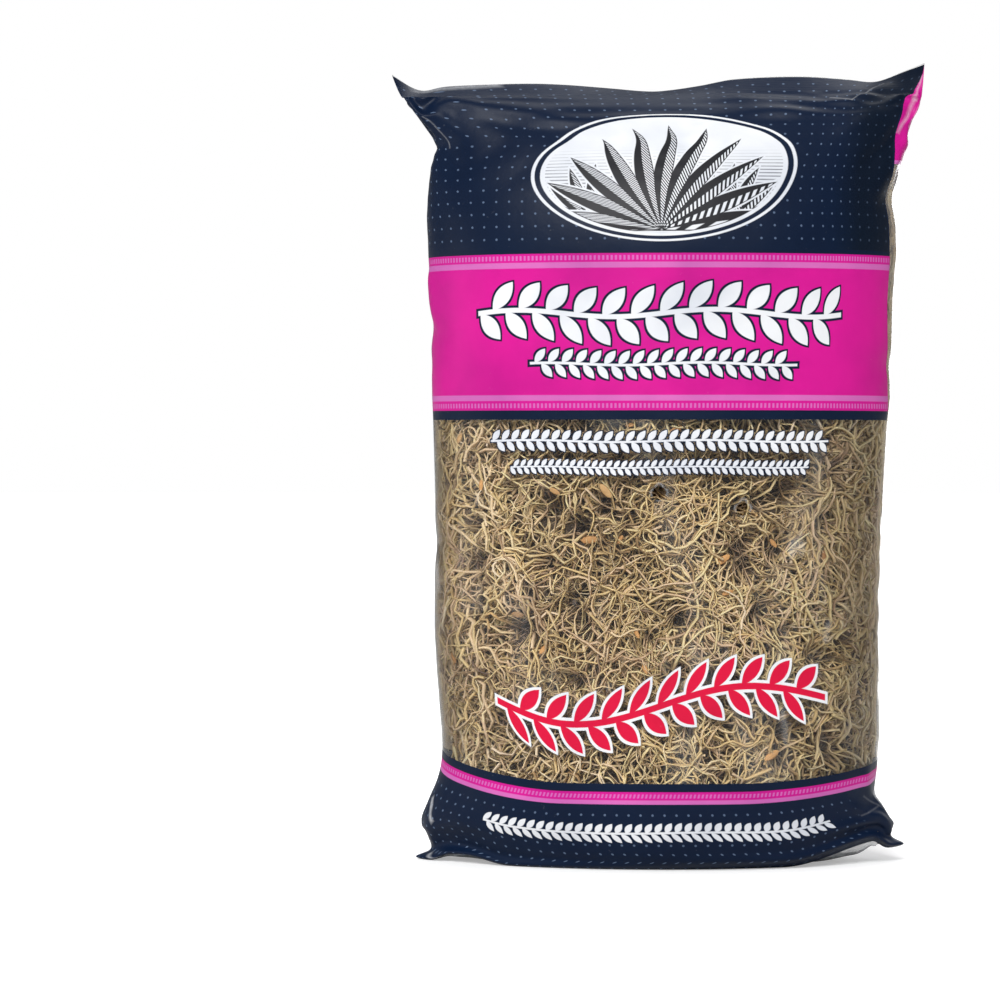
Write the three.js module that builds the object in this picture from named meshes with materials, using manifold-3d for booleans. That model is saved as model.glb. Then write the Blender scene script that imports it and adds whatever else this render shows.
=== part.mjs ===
// A pillow bag of dried Spanish moss, standing on its tucked-under bottom end.
//
// Two pieces: the film of the bag, one tube sealed flat across its top and bottom, and the
// bunch of moss strands inside it, tangled round a denser middle.
//
// Units are millimetres. +Z is up, the bag's front faces -Y and its width lies along X.
// The origin is on the floor, under the middle of the whole object.

import * as THREE from "three";
import { mergeVertices } from "three/addons/utils/BufferGeometryUtils.js";
import Module from "manifold-3d";

const wasm = await Module();
wasm.setup();

// ---- Driving dimensions ----

const FOOT_HALF_DEPTH = 34; // the flat underside, from its middle line to the front
const FOOT_ROUND = 27; // height over which the film turns up from the floor
const BELLY_HALF_DEPTH = 46; // just above that turn
const SHOULDER_HALF_DEPTH = 41; // where the top starts to close
const SHOULDER_HEIGHT = 238;
const SEAL_HEIGHT = 304; // the line where front and back film meet
const SEAL_RISE_PER_MM = 0.012; // the seal climbs a little towards the right ear
const FIN_WIDTH = 12.5; // the crimped band above that line
const FIN_LEAN_MIDDLE = THREE.MathUtils.degToRad(62); // the fin's middle flops backwards
const FIN_LEAN_EARS = THREE.MathUtils.degToRad(12); // its two ears stand up
const WALL = 0.8; // the film's wall, thicker than real film so that it is a sound solid
const BACK_SEAM_WIDTH = 12; // the lap seam up the middle of the back
const BACK_SEAM_PROUD = 0.7;
const VENT_RADIUS = 3;
const VENTS = [
  { x: 0, z: 147 },
  { x: 34, z: 141 },
];

const MOSS_CLEARANCE = 0.4; // from the film's inner face to the furthest strand
const MOSS_BOTTOM = WALL + 0.3; // the bunch sits on the film's floor
const MOSS_TOP = 290;
const CORE_DEPTH = 7; // from the film's outer face to the bunch's dense middle
const CORE_RIDGE = 3; // how far the core's own strands stand up between their furrows
const STRAND_RADIUS = 1.8; // stouter than a real strand, so that fewer cover the bunch
const STRAND_CRESTS = [2.9, 3.6]; // depths of a strand's middle under the film, by turns
const STRAND_ROOT = 12; // depth of its ends, which are sunk in the core
const STRAND_COUNT = 76;
const STRAND_TRIES = 6000;
const STRAND_STEP = 12;
const STRAND_STEPS = [4, 8]; // shortest and longest, in steps
const STRAND_LOWEST = 6;

// The bag's left and right edges seen from the front, as [height, x], from the floor up:
// a flattened ear, the bulge above it, the long side and the ear at the top seal.
const LEFT_EDGE = [
  [0, -94], [4, -96], [10, -91.5], [18, -94], [30, -89.5], [48, -85.5], [90, -88.4],
  [150, -88.2], [210, -90], [262, -91], [287, -89.2], [296, -93.2], [304, -98.9], [316, -106],
];
const RIGHT_EDGE = [
  [0, 90], [8, 96.5], [14, 94], [20, 92.6], [31, 87], [50, 88], [90, 88.2], [130, 89],
  [200, 92.8], [240, 94.2], [265, 93.6], [281, 97.4], [296, 102.4], [304, 104.8], [316, 106],
];

const SIDE_POINTS = 18; // points across the front of a row, and as many across the back
const BODY_HEIGHTS = [
  0, 1.5, 4.5, 9, 14, 20, 27, 38, 52, 70, 92, 116, 140, 165, 190, 214, 238, 252, 264, 274,
  282, 289, 295, 299.5, 302.4, 303.6,
];
const CORE_ROWS = 17;
const CORE_RIDGES = 62; // all the way round

// ---- The pillow's form ----

// A smooth curve through a few [at, value] points, read at one place, by Hermite pieces.
function through(points, at) {
  const last = points.length - 1;
  if (at <= points[0][0]) return points[0][1];
  if (at >= points[last][0]) return points[last][1];
  const i = points.findIndex((p) => p[0] > at) - 1;
  const slope = (k) => {
    const before = points[Math.max(k - 1, 0)];
    const after = points[Math.min(k + 1, last)];
    return (after[1] - before[1]) / (after[0] - before[0]);
  };
  const [x0, y0] = points[i];
  const [x1, y1] = points[i + 1];
  const h = x1 - x0;
  const t = (at - x0) / h;
  return (
    y0 * (1 + 2 * t) * (1 - t) ** 2 +
    slope(i) * h * t * (1 - t) ** 2 +
    y1 * t * t * (3 - 2 * t) +
    slope(i + 1) * h * t * t * (t - 1)
  );
}

// Half the bag's depth at a height: a rounded foot, a long belly and a closing top.
function halfDepth(z) {
  const rise = THREE.MathUtils.clamp(1 - z / FOOT_ROUND, 0, 1);
  const close = (z - SHOULDER_HEIGHT) / (SEAL_HEIGHT - SHOULDER_HEIGHT);
  const along = THREE.MathUtils.smoothstep(z, FOOT_ROUND, SHOULDER_HEIGHT);
  const belly = THREE.MathUtils.lerp(BELLY_HALF_DEPTH, SHOULDER_HALF_DEPTH, along);
  if (rise > 0) return FOOT_HALF_DEPTH + (belly - FOOT_HALF_DEPTH) * Math.sqrt(1 - rise * rise);
  if (close > 0) return belly * Math.sqrt(Math.max(0, 1 - close * close));
  return belly;
}

// Above 1 a section comes to points at its two sides, as it does near both seals.
function pointedness(z) {
  const foot = 1 - THREE.MathUtils.smoothstep(z, 4, 36);
  const top = THREE.MathUtils.smoothstep(z, 236, 300);
  return 0.94 + 0.7 * foot + 0.3 * top;
}

// One point of the pillow, inset from its outer face. Angle PI is the left edge, and the
// front runs from there to 2 PI.
function pillowPoint(angle, z, inset) {
  const from = z > SHOULDER_HEIGHT ? z + inset : Math.max(z - inset, 0);
  const left = through(LEFT_EDGE, z) + inset;
  const right = through(RIGHT_EDGE, z) - inset;
  const depth = Math.max(halfDepth(from) - inset, 0.3);
  const s = Math.sin(angle);
  return new THREE.Vector3(
    (left + right) / 2 + ((right - left) / 2) * Math.cos(angle),
    depth * Math.sign(s) * Math.abs(s) ** pointedness(z),
    z,
  );
}

// A closed row of points round the pillow, anticlockwise from above, from the left edge.
function pillowRow(z, inset, sidePoints) {
  const row = [];
  for (let i = 0; i < 2 * sidePoints; i++)
    row.push(pillowPoint(Math.PI * (1 + i / sidePoints), z, inset));
  return row;
}

// A row of the flat fin, at a distance above the seal line.
function finRow(distance) {
  const edgeHeight = SEAL_HEIGHT + distance * Math.cos(FIN_LEAN_EARS);
  const left = through(LEFT_EDGE, edgeHeight);
  const right = through(RIGHT_EDGE, edgeHeight);
  const row = [];
  for (let i = 0; i < 2 * SIDE_POINTS; i++) {
    const across = Math.cos(Math.PI * (1 + i / SIDE_POINTS));
    const side = i % SIDE_POINTS === 0 ? 0 : i < SIDE_POINTS ? -1 : 1;
    const lean = THREE.MathUtils.lerp(FIN_LEAN_MIDDLE, FIN_LEAN_EARS, Math.abs(across) ** 5);
    const x = (left + right) / 2 + ((right - left) / 2) * across;
    const y = distance * Math.sin(lean) + side * WALL * Math.cos(lean);
    const z = SEAL_HEIGHT + x * SEAL_RISE_PER_MM + distance * Math.cos(lean);
    row.push(new THREE.Vector3(x, y, z - side * WALL * Math.sin(lean)));
  }
  return row;
}

// A closed geometry through rows of points, each row a ring and the ends capped in strips.
function loft(rows) {
  const n = rows[0].length;
  const half = n / 2;
  const position = rows.flat().flatMap((p) => p.toArray());
  const index = [];
  const quad = (a, b, c, d) => index.push(a, b, c, a, c, d);
  for (let r = 0; r + 1 < rows.length; r++)
    for (let i = 0; i < n; i++) {
      const j = (i + 1) % n;
      quad(r * n + i, r * n + j, (r + 1) * n + j, (r + 1) * n + i);
    }
  const cap = (base, facesUp) => {
    for (let i = 0; i < half; i++) {
      const back = n - i;
      const faces = [];
      if (i > 0) faces.push([i, back, back - 1]);
      if (i + 1 < half) faces.push([i, back - 1, i + 1]);
      for (const [a, b, c] of faces.map((f) => (facesUp ? [f[0], f[2], f[1]] : f)))
        index.push(base + a, base + b, base + c);
    }
  };
  cap(0, false);
  cap((rows.length - 1) * n, true);
  return new THREE.BufferGeometry()
    .setAttribute("position", new THREE.Float32BufferAttribute(position, 3))
    .setIndex(index);
}

// ---- Solids ----

function toSolid(geometry) {
  const bare = geometry.clone();
  bare.deleteAttribute("normal");
  bare.deleteAttribute("uv");
  const merged = mergeVertices(bare, 1e-4);
  return new wasm.Manifold(
    new wasm.Mesh({
      numProp: 3,
      vertProperties: new Float32Array(merged.attributes.position.array),
      triVerts: new Uint32Array(merged.index.array),
    }),
  );
}

function toGeometry(solid) {
  const mesh = solid.getMesh();
  const geometry = new THREE.BufferGeometry()
    .setAttribute("position", new THREE.BufferAttribute(mesh.vertProperties, 3))
    .setIndex(new THREE.BufferAttribute(mesh.triVerts, 1));
  geometry.computeVertexNormals();
  return geometry;
}

// ---- The film ----

// The lap seam: a strip a little proud of the back film, from the floor to the seal.
function backSeam() {
  const rows = BODY_HEIGHTS.map((z) => {
    const y = pillowPoint(Math.PI / 2, z, 0).y;
    const w = BACK_SEAM_WIDTH / 2;
    const inner = Math.max(y - WALL / 2, 0);
    const outer = y + BACK_SEAM_PROUD;
    return [
      new THREE.Vector3(-w, inner, z),
      new THREE.Vector3(w, inner, z),
      new THREE.Vector3(w, outer, z),
      new THREE.Vector3(-w, outer, z),
    ];
  });
  return toSolid(loft(rows));
}

function vent({ x, z }) {
  const hole = new THREE.CylinderGeometry(VENT_RADIUS, VENT_RADIUS, BELLY_HALF_DEPTH, 12);
  hole.translate(x, -BELLY_HALF_DEPTH, z);
  hole.deleteAttribute("uv");
  return toSolid(hole);
}

function film() {
  const outerRows = BODY_HEIGHTS.map((z) => pillowRow(z, 0, SIDE_POINTS));
  const finRows = [0.25, 0.6, 1].map((share) => finRow(share * FIN_WIDTH));
  const cavityHeights = BODY_HEIGHTS.map((z) => THREE.MathUtils.clamp(z, WALL, SEAL_HEIGHT - 2));
  const cavityRows = [...new Set(cavityHeights)].map((z) => pillowRow(z, WALL, SIDE_POINTS));
  const whole = toSolid(loft([...outerRows, ...finRows])).add(backSeam());
  const hollow = whole.subtract(toSolid(loft(cavityRows)));
  return VENTS.reduce((solid, place) => solid.subtract(vent(place)), hollow);
}

// ---- The moss ----

// Seeded random numbers from 0 to 1.
function randomSource(seed) {
  let state = seed;
  return () => {
    state = (state + 0x6d2b79f5) | 0;
    let t = Math.imul(state ^ (state >>> 15), 1 | state);
    t = (t + Math.imul(t ^ (t >>> 7), 61 | t)) ^ t;
    return ((t ^ (t >>> 14)) >>> 0) / 4294967296;
  };
}

// The dense middle of the bunch: a smaller pillow wound all over with wavy strands that
// lie side by side, each a ridge between two furrows.
function mossCore() {
  const rows = [];
  for (let r = 0; r < CORE_ROWS; r++) {
    const z = THREE.MathUtils.lerp(MOSS_BOTTOM, MOSS_TOP, r / (CORE_ROWS - 1));
    const row = [];
    for (let i = 0; i < 2 * CORE_RIDGES; i++) {
      const place = Math.PI * (1 + i / CORE_RIDGES);
      const wave = 0.08 * Math.sin(z / 17 + 2 * place) + 0.05 * Math.sin(z / 12 - 4 * place);
      const furrow = i % 2 === 0 ? 0 : CORE_RIDGE;
      row.push(pillowPoint(place + wave * Math.abs(Math.sin(place)), z, CORE_DEPTH + furrow));
    }
    rows.push(row);
  }
  return toSolid(loft(rows));
}

// The middle line of a strand: it wanders over the pillow at its own depth under the film
// and dips into the core at both ends.
function strandPath(angle, z, heading, turn, steps, crestDepth) {
  const points = [];
  let a = angle;
  let h = z;
  let direction = heading;
  for (let k = 0; k <= steps; k++) {
    const crest = Math.sin((Math.PI * k) / steps) ** 0.3;
    points.push(pillowPoint(a, h, THREE.MathUtils.lerp(STRAND_ROOT, crestDepth, crest)));
    const halfWidth = (through(RIGHT_EDGE, h) - through(LEFT_EDGE, h)) / 2;
    const speed = Math.hypot(halfWidth * Math.sin(a), halfDepth(h) * Math.cos(a));
    a += (STRAND_STEP * Math.cos(direction)) / speed;
    h = THREE.MathUtils.clamp(h + STRAND_STEP * Math.sin(direction), STRAND_LOWEST, MOSS_TOP);
    direction += turn * Math.cos((2.2 * Math.PI * k) / steps);
  }
  return new THREE.CatmullRomCurve3(points);
}

// A three-sided tube along a curve that narrows towards both ends.
function taperedTube(curve, steps) {
  const frames = curve.computeFrenetFrames(steps, false);
  const position = [];
  const index = [];
  for (let k = 0; k <= steps; k++) {
    const centre = curve.getPointAt(k / steps);
    const radius = STRAND_RADIUS * Math.min(1, 0.5 + Math.sin((Math.PI * k) / steps));
    for (let side = 0; side < 3; side++) {
      const angle = (2 * Math.PI * side) / 3;
      const across = frames.normals[k].clone().multiplyScalar(radius * Math.cos(angle));
      const up = frames.binormals[k].clone().multiplyScalar(radius * Math.sin(angle));
      position.push(...centre.clone().add(across).add(up).toArray());
      if (k === steps) continue;
      const here = 3 * k + side;
      const next = 3 * k + ((side + 1) % 3);
      index.push(here, next, next + 3, here, next + 3, here + 3);
    }
  }
  index.push(2, 1, 0, 3 * steps, 3 * steps + 1, 3 * steps + 2);
  return new THREE.BufferGeometry()
    .setAttribute("position", new THREE.Float32BufferAttribute(position, 3))
    .setIndex(index);
}

// Strands at random, each kept only where its free middle clears all those before it.
function mossStrands() {
  const random = randomSource(12);
  const taken = [];
  const strands = [];
  for (let i = 0; i < STRAND_TRIES && strands.length < STRAND_COUNT; i++) {
    const height = THREE.MathUtils.lerp(STRAND_LOWEST, MOSS_TOP, random());
    const angle = Math.acos(2 * random() - 1) + Math.PI * Math.round(random());
    const steps = Math.round(THREE.MathUtils.lerp(...STRAND_STEPS, random()));
    const heading = 2 * Math.PI * random();
    const turn = (random() - 0.5) * 1.6;
    const crest = STRAND_CRESTS[strands.length % STRAND_CRESTS.length];
    const path = strandPath(angle, height, heading, turn, steps, crest);
    const middle = path.getSpacedPoints(3 * steps).slice(2, -2);
    const clears = (p) => taken.every((q) => p.distanceToSquared(q) > (2 * STRAND_RADIUS) ** 2);
    if (!middle.every(clears)) continue;
    taken.push(...middle);
    strands.push(toSolid(taperedTube(path, steps)));
  }
  return strands;
}

function moss() {
  const inset = WALL + MOSS_CLEARANCE;
  const heights = BODY_HEIGHTS.map((z) => THREE.MathUtils.clamp(z, inset, SEAL_HEIGHT - 8));
  const room = toSolid(loft([...new Set(heights)].map((z) => pillowRow(z, inset, SIDE_POINTS))));
  return wasm.Manifold.union([mossCore(), ...mossStrands()]).intersect(room);
}

// ---- The object ----

function piece(name, solid, material) {
  const mesh = new THREE.Mesh(toGeometry(solid), material);
  mesh.name = name;
  return mesh;
}

const filmMaterial = new THREE.MeshStandardMaterial({
  color: 0x1b2a44,
  roughness: 0.25,
  metalness: 0,
  transparent: true,
  opacity: 0.35,
});
const mossMaterial = new THREE.MeshStandardMaterial({
  color: 0xa8925f,
  roughness: 0.9,
  metalness: 0,
});

const bag = new THREE.Group();
bag.add(piece("bag_film", film(), filmMaterial));
bag.add(piece("moss_bunch", moss(), mossMaterial));

const box = new THREE.Box3().setFromObject(bag);
bag.position.set(-(box.min.x + box.max.x) / 2, -(box.min.y + box.max.y) / 2, -box.min.z);

export default bag;
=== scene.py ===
"""A pillow bag of dried Spanish moss, standing on its tucked-under end in a white studio.

The printed film and its back seam replace the solid bag_film. The moss, thousands of thin
strands over a dark middle, replaces the solid moss_bunch. Sizes are in millimetres until a
mesh is made, and the form of the bag is worked out from the same numbers as the solids'.
"""

import math
from functools import partialmethod

import bpy
import numpy as np
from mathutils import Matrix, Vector


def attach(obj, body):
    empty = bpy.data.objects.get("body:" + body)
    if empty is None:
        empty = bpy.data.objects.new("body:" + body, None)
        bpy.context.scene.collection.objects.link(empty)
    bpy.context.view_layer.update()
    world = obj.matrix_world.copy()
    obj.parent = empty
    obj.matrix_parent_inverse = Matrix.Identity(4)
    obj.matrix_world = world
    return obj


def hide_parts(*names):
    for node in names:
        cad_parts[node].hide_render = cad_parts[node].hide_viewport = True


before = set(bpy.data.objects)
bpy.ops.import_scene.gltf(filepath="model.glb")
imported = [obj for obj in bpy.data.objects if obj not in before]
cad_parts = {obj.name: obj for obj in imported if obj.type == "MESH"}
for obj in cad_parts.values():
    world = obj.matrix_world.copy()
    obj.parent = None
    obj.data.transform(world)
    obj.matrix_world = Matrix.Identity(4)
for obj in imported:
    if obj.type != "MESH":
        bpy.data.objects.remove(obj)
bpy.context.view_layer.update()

MM = 0.001
rng = np.random.default_rng(20)

# ---- The pillow's form, as in the solids ----

FOOT_HALF_DEPTH = 34
FOOT_ROUND = 27
BELLY_HALF_DEPTH = 46
SHOULDER_HALF_DEPTH = 41
LEAST_HALF_DEPTH = 0.3
SHOULDER_HEIGHT = 238
SEAL_HEIGHT = 304
CLOSING = 0.75  # how straight the film runs to the seal: 0.5 is a round end, 1 a wedge
ROUNDNESS = (0.94, 0.7, 0.3)  # 1 is an ellipse, more is sharper: all over, added at foot and top
SEAL_RISE_PER_MM = 0.012
FIN_WIDTH = 12.5
FIN_HALF_GAP = 0.2  # from the middle of the fin to its front, and to its back
BACKWARD_SHIFT = -0.35  # puts the middle of the whole bag's depth on Y = 0
LEFT_EDGE = np.array([  # each [height, x], from the thin ear on the floor to the upper ear's tip
    [0, -94], [1, -96.8], [3.6, -90.4], [9, -91.4], [15.5, -94], [24.5, -90.2], [31, -87],
    [41, -84.8], [60, -86.2], [90, -88.4], [150, -88.2], [210, -90], [262, -90.8],
    [271, -90], [279, -88.6], [284, -86.8], [289, -90.8], [300, -98.6], [304, -101.2],
    [316, -106.3],
])
RIGHT_EDGE = np.array([
    [0, 88.5], [1.5, 91.6], [3.4, 98.8], [6.4, 93.6], [8.4, 93], [12.5, 93.8], [15, 91.6],
    [22, 88.2], [27, 84.8], [32, 85.4], [39, 86.9], [60, 88], [90, 88.2], [130, 89], [200, 92.8],
    [240, 94.2], [265, 93.6], [281, 97.4], [296, 102.4], [304, 104.8], [316, 106],
])
# The height that the top edge reaches along the bag's width, as [x, height].
TOP_EDGE = np.array([
    [-106, 314], [-95, 307.6], [-86, 309.2], [-70, 310], [-50, 310.4], [-36, 309.8], [-20, 308.4],
    [0, 306.8], [17, 309], [30, 311.6], [57, 312.6], [77, 311.2], [87, 310.2], [98, 314.5],
    [106, 317.4],
])
# The lower corners rise: the side, how high, and from which |x| to which; then the ear beyond
# drops again: from which |x| to which, and by what share of the rise.
LIFTS = [(-1, 3.2, 58, 76, 82, 90, 1.0), (1, 8.5, 50, 90, 86, 92, 0.6)]
LIFT_FADES = 30  # the height where the rise is spent

# ---- The film laid flat: u runs round the bag from the middle of the front, v up it ----

HALF_WIDTH = 108  # the flat tube's half width, so |u| is 108 at each side edge
HALF_GIRTH = 2 * HALF_WIDTH  # and 216 at the middle of the back
GIRTH = 2 * HALF_GIRTH
MIDDLE_RING = (90, 44)  # the half width and half depth of the ring that u is measured on
EQUAL_HEIGHT = 100  # where v is the height itself


def smooth(x, low, high):
    """0 below low, 1 above high, and a smooth step between."""
    t = np.clip((x - low) / (high - low), 0, 1)
    return t * t * (3 - 2 * t)


def hump(x, low, full, falls, gone):
    """0 below low, 1 from full to falls, and 0 again above gone."""
    return smooth(x, low, full) * (1 - smooth(x, falls, gone))


def through(points, at):
    """A smooth curve through a few [at, value] points, by Hermite pieces."""
    x, y = points[:, 0], points[:, 1]
    before = np.r_[0, 0:len(x) - 1]
    after = np.r_[1:len(x), len(x) - 1]
    slope = (y[after] - y[before]) / (x[after] - x[before])
    at = np.clip(at, x[0], x[-1])
    i = np.clip(np.searchsorted(x, at, side="right") - 1, 0, len(x) - 2)
    h = x[i + 1] - x[i]
    t = (at - x[i]) / h
    start = y[i] * (1 + 2 * t) * (1 - t) ** 2 + slope[i] * h * t * (1 - t) ** 2
    return start + y[i + 1] * t * t * (3 - 2 * t) + slope[i + 1] * h * t * t * (t - 1)


def half_depth(z):
    """Half the bag's depth at a height: a rounded foot, a long belly and a closing top."""
    belly = BELLY_HALF_DEPTH + (SHOULDER_HALF_DEPTH - BELLY_HALF_DEPTH) * smooth(
        z, FOOT_ROUND, SHOULDER_HEIGHT)
    rise = np.clip(1 - z / FOOT_ROUND, 0, 1)
    close = np.clip((z - SHOULDER_HEIGHT) / (SEAL_HEIGHT - SHOULDER_HEIGHT), 0, 1)
    foot = FOOT_HALF_DEPTH + (belly - FOOT_HALF_DEPTH) * np.sqrt(1 - rise ** 2)
    return np.where(rise > 0, foot, belly * (1 - close ** 2) ** CLOSING)


def corner_lift(x):
    """How far the bag's foot stands off the floor towards its two lower ears."""
    lift = 0 * x
    for side, height, low, high, ear_low, ear_high, drop in LIFTS:
        out = side * x
        lift = lift + height * smooth(out, low, high) * (1 - drop * smooth(out, ear_low, ear_high))
    return lift


def across_bag(angle, z, inset=0):
    """The x at an angle round the bag, between its two side edges at a height."""
    left = through(LEFT_EDGE, z) + inset
    right = through(RIGHT_EDGE, z) - inset
    return (left + right) / 2 + (right - left) / 2 * np.cos(angle)


def pillow(angle, z, inset):
    """Points of the pillow, inset from its outer face. Angle pi is the left edge."""
    all_over, at_foot, at_top = ROUNDNESS
    pointed = all_over + at_foot * (1 - smooth(z, 4, 36)) + at_top * smooth(z, 236, 300)
    source = np.where(z > SHOULDER_HEIGHT, z + inset, np.maximum(z - inset, 0))
    depth = np.maximum(half_depth(source) - inset, LEAST_HALF_DEPTH)
    side = np.sin(angle)
    x = across_bag(angle, z, inset)
    y = depth * np.sign(side) * np.abs(side) ** pointed + BACKWARD_SHIFT
    return np.stack([x, y, z + corner_lift(x) * (1 - smooth(z, 0, LIFT_FADES))], axis=-1)


def run_along(x, y):
    """How far each point of a line is from its first point, along it."""
    return np.r_[0, np.cumsum(np.hypot(np.diff(x), np.diff(y)))]


# Angles of the pillow and the u of each, and heights and the v of each.
ANGLES = np.linspace(0.5 * math.pi, 2.5 * math.pi, 2001)
ANGLE_U = run_along(MIDDLE_RING[0] * np.cos(ANGLES), MIDDLE_RING[1] * np.sin(ANGLES))
ANGLE_U = ANGLE_U / ANGLE_U[-1] * GIRTH - HALF_GIRTH
HEIGHTS = np.linspace(0, SEAL_HEIGHT, 3041)
HEIGHT_V = run_along(HEIGHTS, half_depth(HEIGHTS))
HEIGHT_V += EQUAL_HEIGHT - np.interp(EQUAL_HEIGHT, HEIGHTS, HEIGHT_V)
V_FLOOR, V_SEAL = HEIGHT_V[0], HEIGHT_V[-1]
V_TOP = V_SEAL + FIN_WIDTH


def under_film(u, v, inset):
    """Where the point (u, v) of the film lies, or one inset under it."""
    u = (u + HALF_GIRTH) % GIRTH - HALF_GIRTH
    return pillow(np.interp(u, ANGLE_U, ANGLES), np.interp(v, HEIGHT_V, HEIGHTS), inset)


def fin_point(u, distance):
    """A point of the sealed fin, a distance above the seal line. Its middle leans back."""
    angle = np.interp(u, ANGLE_U, ANGLES)
    x = across_bag(angle, SEAL_HEIGHT + distance)
    base = SEAL_HEIGHT + x * SEAL_RISE_PER_MM
    upright = np.clip((through(TOP_EDGE, x) - base) / FIN_WIDTH, 0.15, 1)
    lean = np.sqrt(1 - upright ** 2)
    side = FIN_HALF_GAP * np.where(np.abs(u) < HALF_WIDTH, -1, 1) * (np.abs(np.sin(angle)) > 0.01)
    y = distance * lean + BACKWARD_SHIFT + side * upright
    z = base + distance * upright - side * lean
    return np.stack([x, y, z], axis=-1)


# ---- Meshes ----


def new_object(name, data):
    made = bpy.data.objects.new(name, data)
    bpy.context.collection.objects.link(made)
    return made


def mesh_object(name, points, faces):
    """An object from points in millimetres and the faces between them."""
    mesh = bpy.data.meshes.new(name)
    mesh.from_pydata((points * MM).tolist(), [], faces.tolist())
    mesh.validate()
    mesh.shade_smooth()
    return new_object(name, mesh)


def quad_corners(row_count, column_count):
    """The row and the column of each corner of that many rows and columns of quads."""
    r, c = np.meshgrid(np.arange(row_count), np.arange(column_count), indexing="ij")
    return r.reshape(-1, 1) + np.array([0, 0, 1, 1]), c.reshape(-1, 1) + np.array([0, 1, 1, 0])


def ring_quads(row_count, columns):
    """Quads between rows of points that each go once round the bag."""
    corner_rows, corner_columns = quad_corners(row_count - 1, columns)
    return corner_rows * columns + corner_columns % columns


def set_film_uv(made, u, v):
    """Gives each corner of each face its place on the flat film."""
    layer = made.data.uv_layers.new(name="film")
    layer.data.foreach_set("uv", np.stack([u, v], axis=-1).astype(np.float32).ravel())


def unit(vectors):
    return vectors / (np.linalg.norm(vectors, axis=-1, keepdims=True) + 1e-9)


# ---- The film ----

COLUMNS = 144
COLUMN_STEP = GIRTH / COLUMNS
ROW_STEP = 3.0
FOOT_ROW_STEP = 1.4  # up to FOOT_ROWS_END, where the corners are small
FOOT_ROWS_END = 13
UNDER_ROWS = 8
UNDER_TAPER = 0.03  # the seam under the bag is that much shorter than the foot is wide
UNDER_RISE = 0.15  # and lies this high
FIN_ROWS = 6
VENTS = [(0, 147), (33, 141)]  # the middle of each, as (u, v)
VENT_RADIUS = 3
STUFFING_INSET = 1.5
SETTLE_FRAMES = 24
CLOTH = {
    "quality": 7, "mass": 0.15, "tension_stiffness": 40, "compression_stiffness": 40,
    "shear_stiffness": 20, "bending_stiffness": 0.08, "air_damping": 3,
    "use_pressure": True, "uniform_pressure_force": 0.7, "vertex_group_mass": "held",
}
FREE_PLAY = 4.5  # how far the cloth simulation may move a point of the film
FOOT_GIVES = 30  # the v where the foot, held by the floor, may move as freely as the rest
SLACK = (1.02, 1.012)  # how much longer than the moss needs the film is, across and up

# Folds of the film: each one's start and end as (u, v), how far it stands out, and its width.
SHARP_FOLDS = [
    ((-96, 320), (-92, 284), 1.0, 2.2),
    ((58, 315), (68, 311), 1.0, 2.4),
    ((66, 311), (84, 328), 1.4, 2.6),
    ((94, 292), (100, 322), 0.9, 2.2),
    ((-101, 4), (-86, 30), 1.2, 2.4),
    ((103, 6), (78, 26), 2.0, 2.4),
    ((105, 12), (90, 40), 1.6, 2.2),
    ((100, 16), (66, 12), 1.5, 2.6),
    ((98, 24), (80, 14), -1.2, 2.4),
]
BROAD_FOLDS = [
    ((-84, 314), (-34, 300), 1.5, 5.0),
    ((-70, 303), (-26, 288), -1.1, 6.0),
    ((20, 316), (52, 300), 1.2, 5.0),
    ((96, 316), (62, 292), 1.6, 5.0),
    ((102, 305), (76, 272), -1.6, 5.0),
    ((100, 286), (84, 256), 1.1, 4.0),
    ((-102, 300), (-80, 268), -1.2, 5.0),
    ((-104, 240), (-96, 208), 1.3, 3.5),
    ((-90, 30), (-60, 18), -1.1, 5.0),
]
WORN_AND_LIT_LINES = [  # painted highlights along folds and edges, partly ink dulled by the folds: start, end, how much, how wide
    ((-94, 304), (-92, 286), 0.30, 1.0),
    ((59, 315), (67, 311.5), 0.38, 1.6),
    ((67, 311.5), (80, 326), 0.32, 1.6),
    ((92, 294), (94.5, 312), 0.60, 3.6),
    ((94.5, 312), (103, 326), 0.60, 3.6),
    ((98, 298), (101, 316), 0.40, 2.4),
    ((-82, 329.5), (-56, 330.5), 0.60, 6.0),
    ((-99, 24.5), (-93, 16.5), 0.95, 3.4),
    ((-97, 1), (-87, -3), 0.70, 2.0),
    ((98, 21), (84, 17), 0.16, 1.6),
    ((92, 27), (100, 20), 0.16, 1.6),
]
SIDE_PUCKERS = 22
INWARD_SHARE = 0.4  # of the half depth: the front and back stay apart as they near the seal


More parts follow.
